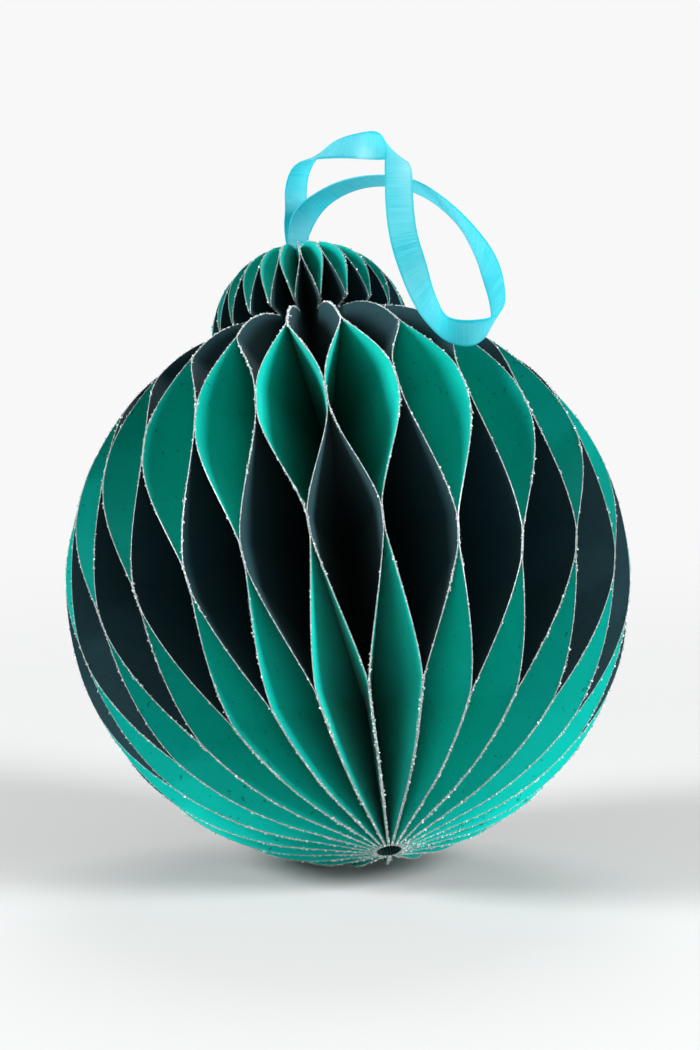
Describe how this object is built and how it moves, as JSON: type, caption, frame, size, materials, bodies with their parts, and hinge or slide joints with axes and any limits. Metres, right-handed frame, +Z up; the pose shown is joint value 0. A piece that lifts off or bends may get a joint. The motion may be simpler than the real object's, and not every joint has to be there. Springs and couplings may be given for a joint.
{
  "type": "honeycomb paper ball ornament",
  "caption": "Honeycomb paper ball with a small cap, opened out of glued card leaves with glittered edges, on a flat satin ribbon loop for hanging.",
  "frame": {"origin": "top centre of the cap, where the ribbon leaves the bore of the leaf block", "axes": "+Z up along the spine, from the ball to the cap; -Y is the front, the side that the slack ribbon falls towards"},
  "size_m": [0.12, 0.12, 0.1643],
  "materials": {
    "card_leaf": "matt coloured card, green on one face and near-black teal on the other, silver glitter on the cut edge",
    "ribbon": "satin weave with woven edges"
  },
  "bodies": {
    "root": {"leaf_01": "card_leaf", "leaf_02": "card_leaf", "leaf_03": "card_leaf", "leaf_04": "card_leaf", "leaf_05": "card_leaf", "leaf_06": "card_leaf", "leaf_07": "card_leaf", "leaf_08": "card_leaf", "leaf_09": "card_leaf", "leaf_10": "card_leaf", "leaf_11": "card_leaf", "leaf_12": "card_leaf", "leaf_13": "card_leaf", "leaf_14": "card_leaf", "leaf_15": "card_leaf", "leaf_16": "card_leaf", "leaf_17": "card_leaf", "leaf_18": "card_leaf", "leaf_19": "card_leaf", "leaf_20": "card_leaf", "leaf_21": "card_leaf", "leaf_22": "card_leaf", "leaf_23": "card_leaf", "leaf_24": "card_leaf", "leaf_25": "card_leaf", "leaf_26": "card_leaf", "leaf_27": "card_leaf", "leaf_28": "card_leaf", "leaf_29": "card_leaf", "leaf_30": "card_leaf", "leaf_31": "card_leaf", "leaf_32": "card_leaf", "leaf_33": "card_leaf", "leaf_34": "card_leaf", "leaf_35": "card_leaf", "leaf_36": "card_leaf", "leaf_37": "card_leaf", "leaf_38": "card_leaf", "leaf_39": "card_leaf", "leaf_40": "card_leaf", "leaf_41": "card_leaf", "leaf_42": "card_leaf", "leaf_43": "card_leaf", "leaf_44": "card_leaf", "leaf_45": "card_leaf", "leaf_46": "card_leaf", "leaf_47": "card_leaf", "leaf_48": "card_leaf", "ribbon": "ribbon"}
  },
  "joints": []
}
